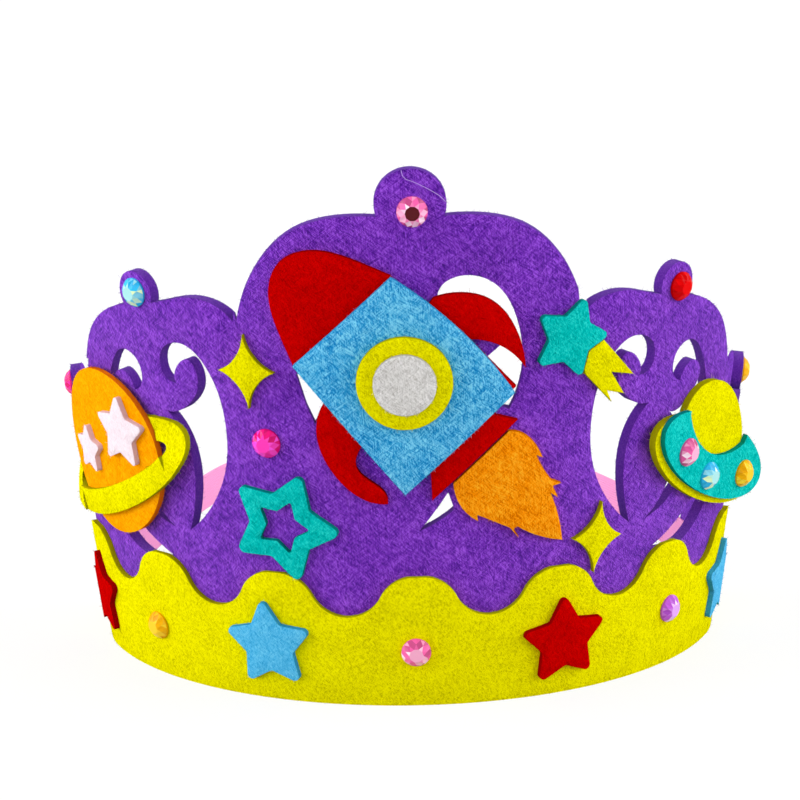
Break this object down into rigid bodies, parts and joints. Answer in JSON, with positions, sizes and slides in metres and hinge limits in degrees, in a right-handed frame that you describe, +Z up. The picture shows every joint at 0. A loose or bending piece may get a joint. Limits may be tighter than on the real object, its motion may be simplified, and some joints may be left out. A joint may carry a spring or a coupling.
{
  "type": "child's felt crown with elastic strap",
  "caption": "Felt dress-up crown with pierced peaks, a scalloped base band, space appliques, rhinestones and an elastic strap behind the head.",
  "frame": {"origin": "on the table, on the axis of the front arc of the wall, which is the middle of the whole outline", "axes": "front of the crown towards -Y, elastic strap towards +Y, +Z up, wearer's left towards +X"},
  "size_m": [0.2027, 0.2235, 0.1475],
  "materials": {
    "felt_purple": "thick needle-punched polyester felt, matt and slightly hairy",
    "felt_yellow": "needle-punched polyester felt, matt",
    "felt_red": "needle-punched polyester felt, matt",
    "felt_blue": "needle-punched polyester felt, matt",
    "felt_white": "needle-punched polyester felt, matt",
    "felt_orange": "needle-punched polyester felt, matt",
    "felt_teal": "needle-punched polyester felt, matt",
    "elastic_pink": "woven elastic, ribbed along its length",
    "gem_pink": "faceted acrylic with a foil back",
    "gem_sky": "faceted acrylic with a foil back",
    "gem_red": "faceted acrylic with a foil back",
    "gem_hot_pink": "faceted acrylic with a foil back",
    "gem_gold": "faceted acrylic with a foil back",
    "gem_violet": "faceted acrylic with a foil back"
  },
  "bodies": {
    "root": {"crown_wall": "felt_purple", "base_band": "felt_yellow", "elastic_strap": "elastic_pink", "rocket_silhouette": "felt_red", "rocket_panel": "felt_blue", "porthole_ring": "felt_yellow", "porthole_disc": "felt_white", "flame": "felt_orange", "hollow_star": "felt_teal", "comet_star": "felt_teal", "comet_tail": "felt_yellow", "sparkle_left": "felt_yellow", "sparkle_right": "felt_yellow", "base_star_red_left": "felt_red", "base_star_blue_left": "felt_blue", "base_star_red_right": "felt_red", "base_star_blue_right": "felt_blue", "planet_disc": "felt_orange", "planet_star_right": "felt_white", "planet_star_left": "felt_white", "planet_ring": "felt_yellow", "saucer_body": "felt_yellow", "saucer_rim": "felt_teal", "gem_top": "gem_pink", "gem_knob_left": "gem_sky", "gem_knob_right": "gem_red", "gem_outer_left": "gem_hot_pink", "gem_outer_right": "gem_gold", "gem_wall": "gem_hot_pink", "gem_band_left": "gem_gold", "gem_band_center": "gem_pink", "gem_band_right": "gem_violet", "gem_saucer_left": "gem_pink", "gem_saucer_center": "gem_sky", "gem_saucer_right": "gem_gold"}
  },
  "joints": []
}
